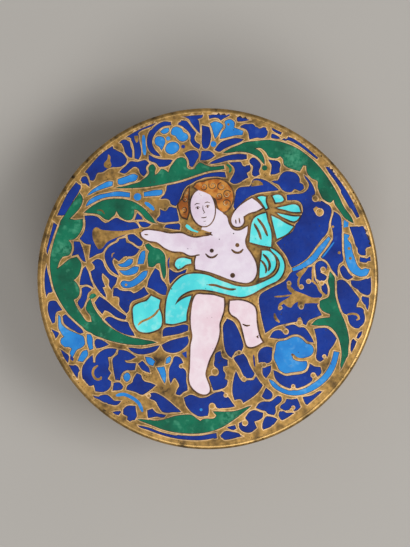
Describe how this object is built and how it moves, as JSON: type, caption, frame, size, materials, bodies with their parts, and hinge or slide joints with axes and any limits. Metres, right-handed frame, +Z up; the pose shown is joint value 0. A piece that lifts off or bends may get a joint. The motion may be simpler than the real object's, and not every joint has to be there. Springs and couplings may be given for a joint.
{
  "type": "round lidded box",
  "caption": "Round turned bronze box with a slip lid that lifts off an inner neck; the lid carries gilt cellwork filled with coloured enamel.",
  "frame": {"origin": "centre of the foot ring's resting face, on the surface the box stands on", "axes": "+Z up along the axis of the box and lid, +X to the right and +Y to the top of the lid's picture"},
  "size_m": [0.08, 0.08, 0.0327],
  "materials": {
    "bronze": "turned bronze with a brown patina",
    "gilt": "worn gilt bronze, polished on the edges",
    "cobalt_enamel": "opaque cobalt enamel, ground flush and polished",
    "green_enamel": "green enamel with milky lighter patches",
    "sky_enamel": "light blue opaque enamel",
    "turquoise_enamel": "pale turquoise opaque enamel",
    "skin_enamel": "pale pinkish white opaque enamel",
    "hair_enamel": "orange brown enamel"
  },
  "bodies": {
    "box": {"foot_ring": "bronze", "base_plate": "bronze", "body_wall": "bronze", "neck_ring": "gilt"},
    "lid": {"lid_wall": "bronze", "lid_plate": "gilt", "enamel_ground": "cobalt_enamel", "gilt_cellwork": "gilt", "hair_crown": "hair_enamel", "hair_side": "hair_enamel", "torso": "skin_enamel", "hand": "skin_enamel", "leg_left": "skin_enamel", "leg_right": "skin_enamel", "head": "skin_enamel", "drape": "turquoise_enamel", "drape_hip": "turquoise_enamel", "drape_shoulder": "turquoise_enamel", "ribbon_curl": "turquoise_enamel", "ribbon_knot": "turquoise_enamel", "ribbon_upper": "turquoise_enamel", "ribbon_middle": "turquoise_enamel", "ribbon_lower": "turquoise_enamel", "drape_end": "turquoise_enamel", "drape_elbow": "turquoise_enamel", "leaf_crest": "green_enamel", "leaf_trumpet": "green_enamel", "leaf_west": "green_enamel", "leaf_tulip": "green_enamel", "leaf_north_east": "green_enamel", "leaf_east": "green_enamel", "leaf_south": "green_enamel", "stem_north_west": "sky_enamel", "stem_upper_left": "sky_enamel", "stem_over_trumpet": "sky_enamel", "stem_middle_left": "sky_enamel", "tulip_tip": "sky_enamel", "tulip_petal_right": "sky_enamel", "tulip_petal_middle": "sky_enamel", "tulip_petal_lower": "sky_enamel", "flower_north_tip": "sky_enamel", "flower_north_petal_right": "sky_enamel", "flower_north_petal_left": "sky_enamel", "flower_north_petal_low": "sky_enamel", "bud_top_left": "sky_enamel", "bud_top_right": "sky_enamel", "ribbon_east": "sky_enamel", "fish": "sky_enamel", "flower_east": "sky_enamel", "stem_south_east": "sky_enamel", "petal_south_large": "sky_enamel", "petal_south_small": "sky_enamel", "petal_south_drop": "sky_enamel", "flower_west": "sky_enamel", "flower_west_petal": "sky_enamel", "flower_west_low": "sky_enamel", "bud_south_west": "sky_enamel"}
  },
  "joints": [
    {"name": "lid_lift", "type": "slide", "parent": "box", "child": "lid", "axis": [0, 0, 1], "range_m": [0, 0.04]}
  ]
}
